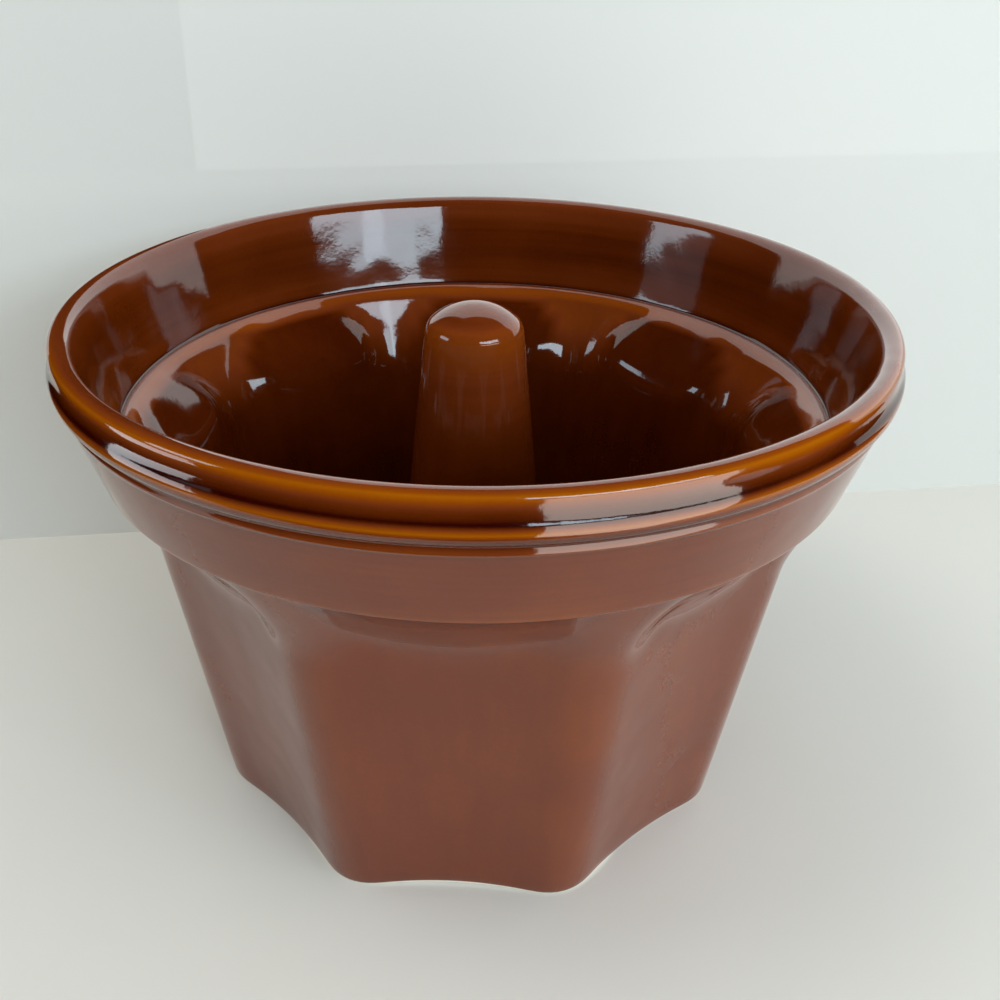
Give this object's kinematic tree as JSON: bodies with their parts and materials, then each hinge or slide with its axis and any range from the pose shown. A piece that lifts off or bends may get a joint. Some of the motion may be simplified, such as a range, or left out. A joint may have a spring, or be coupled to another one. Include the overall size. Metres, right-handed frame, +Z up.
{
  "type": "monkey bread mould",
  "caption": "Glazed stoneware mould for monkey bread: a round fluted baking bowl with a double-beaded rim, an inner ledge and a closed post, hollow from beneath, in the middle.",
  "frame": {"origin": "middle of the foot, on the surface that the mould stands on", "axes": "+Z up along the post and the rim's axis; the middle of one flute faces -Y"},
  "size_m": [0.222, 0.2218, 0.1442],
  "materials": {
    "glaze": "glossy red-brown glaze, amber where it runs thin on the rim and dark where it pools"
  },
  "bodies": {
    "root": {"mould": "glaze"}
  },
  "joints": []
}
